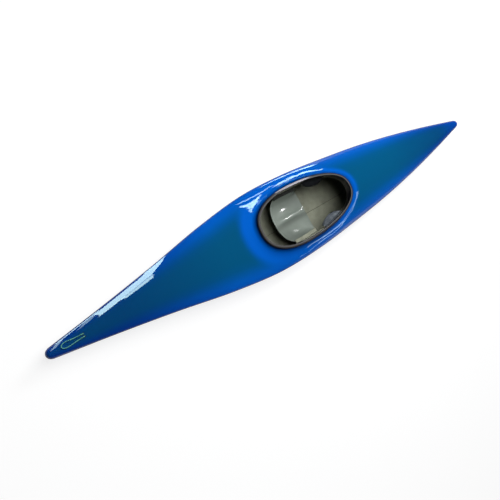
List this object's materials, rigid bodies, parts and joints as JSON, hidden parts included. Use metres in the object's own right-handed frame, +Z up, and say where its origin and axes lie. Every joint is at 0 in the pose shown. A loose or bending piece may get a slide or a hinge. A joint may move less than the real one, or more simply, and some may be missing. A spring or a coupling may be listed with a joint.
{
  "type": "whitewater kayak",
  "caption": "Slender decked slalom kayak with an oval cockpit, moulded seat, thigh hooks, sliding footrest and a stern grab loop.",
  "frame": {"origin": "on the ground under the middle of the boat, on the centreline", "axes": "+X to the bow, +Y to port, +Z up"},
  "size_m": [4, 0.6112, 0.3119],
  "materials": {
    "blue_gelcoat": "polished gelcoat, bright blue edges fading to teal along the middle",
    "rim_gelcoat": "polished black gelcoat",
    "woven_laminate": "bare woven laminate, satin resin",
    "seat_laminate": "semi-gloss grey green moulding",
    "hook_laminate": "glossy dark laminate",
    "white_foam": "closed-cell foam",
    "grey_foam": "soft closed-cell foam",
    "aluminium": "satin anodised",
    "steel": "bright stainless",
    "black_plastic": "moulded, fine grain",
    "board_plastic": "moulded, fine grain",
    "mint_cord": "braided cord",
    "seam_resin": "dark resin seam"
  },
  "bodies": {
    "kayak": {"hull_shell": "blue_gelcoat", "deck_shell": "blue_gelcoat", "cockpit_rim": "rim_gelcoat", "seat_pan": "seat_laminate", "seat_block": "grey_foam", "rear_pillar": "white_foam", "front_pillar": "white_foam", "stern_end_block": "white_foam", "bow_end_block": "white_foam", "stern_grab_loop": "mint_cord", "inner_seam_tape_port": "woven_laminate", "outer_seam_band_port": "seam_resin", "hip_plate_port": "woven_laminate", "thigh_hook_port": "hook_laminate", "floor_liner_port": "woven_laminate", "footrest_rail_port": "aluminium", "rail_block_port": "white_foam", "loop_sleeve_port": "black_plastic", "loop_knot_port": "mint_cord", "inner_seam_tape_starboard": "woven_laminate", "outer_seam_band_starboard": "seam_resin", "hip_plate_starboard": "woven_laminate", "thigh_hook_starboard": "hook_laminate", "floor_liner_starboard": "woven_laminate", "footrest_rail_starboard": "aluminium", "rail_block_starboard": "white_foam", "loop_sleeve_starboard": "black_plastic", "loop_knot_starboard": "mint_cord", "hip_bolt_port_front": "steel", "hip_nut_port_front": "steel", "hip_bolt_port_rear": "steel", "hip_nut_port_rear": "steel", "hip_bolt_starboard_front": "steel", "hip_nut_starboard_front": "steel", "hip_bolt_starboard_rear": "steel", "hip_nut_starboard_rear": "steel"},
    "footrest": {"footrest_board": "board_plastic", "footrest_pad": "grey_foam", "slide_nut_port": "steel", "slide_nut_starboard": "steel"},
    "knob_port": {"footrest_knob_port": "black_plastic"},
    "knob_starboard": {"footrest_knob_starboard": "black_plastic"}
  },
  "joints": [
    {"name": "footrest_slide", "type": "slide", "parent": "kayak", "child": "footrest", "axis": [1, 0, 0], "range_m": [-0.1, 0.1]},
    {"name": "knob_port_turn", "type": "hinge", "parent": "footrest", "child": "knob_port", "pos_m": [0.79516, 0.1434, 0.104], "axis": [0, 1, 0], "continuous": true},
    {"name": "knob_starboard_turn", "type": "hinge", "parent": "footrest", "child": "knob_starboard", "pos_m": [0.79516, -0.1434, 0.104], "axis": [0, 1, 0], "continuous": true}
  ]
}
